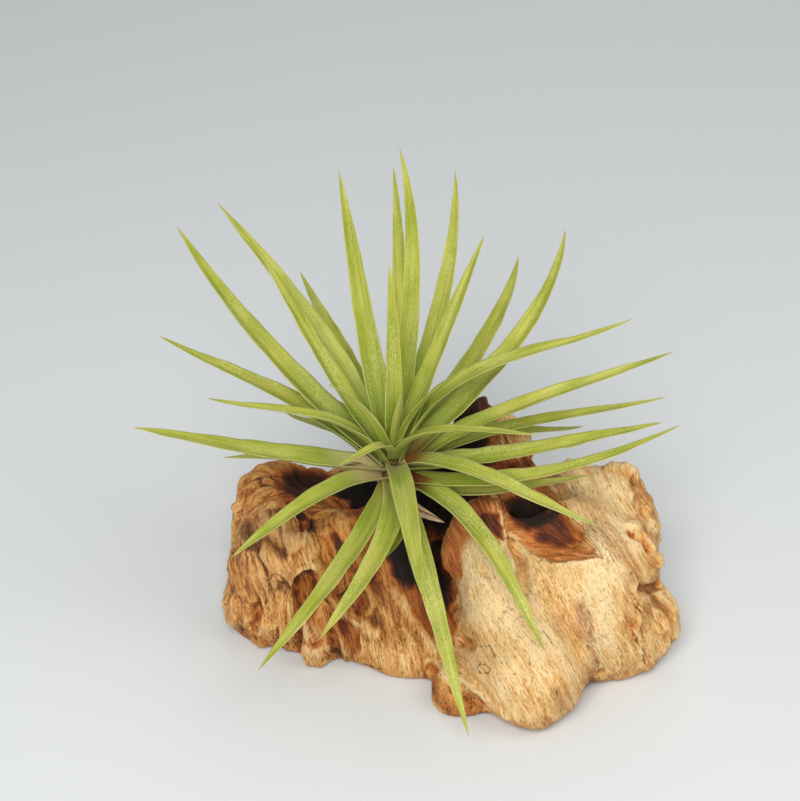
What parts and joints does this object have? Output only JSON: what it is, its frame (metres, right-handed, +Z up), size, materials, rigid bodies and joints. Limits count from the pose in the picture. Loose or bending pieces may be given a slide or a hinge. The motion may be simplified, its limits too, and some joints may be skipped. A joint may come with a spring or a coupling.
{
  "type": "air plant on driftwood",
  "caption": "Air plant with a full rosette of long, tapering, channelled green leaves, seated in the charred hollow of a rugged, flat-based driftwood holder.",
  "frame": {"origin": "point on the ground under the heart of the rosette, in the plane of the driftwood's flat base", "axes": "+X to the right and -Y to the front, as the picture faces it; +Z up"},
  "size_m": [0.2494, 0.2321, 0.2169],
  "materials": {
    "driftwood": "bare, weathered and hand-cleaned driftwood: pale tan with ochre edges, charred near-black in the hollows",
    "stem": "short dry brown stem, hidden by the leaf bases",
    "young_leaf": "living leaf: fresh green, matt, with fine silvery scales",
    "adult_leaf": "living leaf: green, matt, fine silvery scales, paler margins",
    "old_leaf": "living leaf: green with a beige to rust-brown base",
    "dry_leaf": "withered leaf: dry, matt grey-tan"
  },
  "bodies": {
    "root": {"driftwood": "driftwood", "dry_leaf_01": "dry_leaf", "dry_leaf_02": "dry_leaf", "dry_leaf_03": "dry_leaf", "leaf_01": "adult_leaf", "leaf_02": "adult_leaf", "leaf_03": "adult_leaf", "leaf_04": "adult_leaf", "leaf_05": "adult_leaf", "leaf_06": "adult_leaf", "leaf_07": "adult_leaf", "leaf_08": "adult_leaf", "leaf_09": "adult_leaf", "leaf_10": "adult_leaf", "leaf_11": "adult_leaf", "leaf_12": "adult_leaf", "leaf_13": "adult_leaf", "leaf_14": "adult_leaf", "leaf_15": "adult_leaf", "leaf_16": "adult_leaf", "leaf_17": "adult_leaf", "leaf_18": "adult_leaf", "old_leaf_01": "old_leaf", "old_leaf_02": "old_leaf", "old_leaf_03": "old_leaf", "old_leaf_04": "old_leaf", "old_leaf_05": "old_leaf", "old_leaf_06": "old_leaf", "old_leaf_07": "old_leaf", "old_leaf_08": "old_leaf", "old_leaf_09": "old_leaf", "old_leaf_10": "old_leaf", "old_leaf_11": "old_leaf", "old_leaf_12": "old_leaf", "old_leaf_13": "old_leaf", "old_leaf_14": "old_leaf", "old_leaf_15": "old_leaf", "old_leaf_16": "old_leaf", "old_leaf_17": "old_leaf", "old_leaf_18": "old_leaf", "stem": "stem", "young_leaf_01": "young_leaf", "young_leaf_02": "young_leaf", "young_leaf_03": "young_leaf", "young_leaf_04": "young_leaf", "young_leaf_05": "young_leaf", "young_leaf_06": "young_leaf", "young_leaf_07": "young_leaf"}
  },
  "joints": []
}
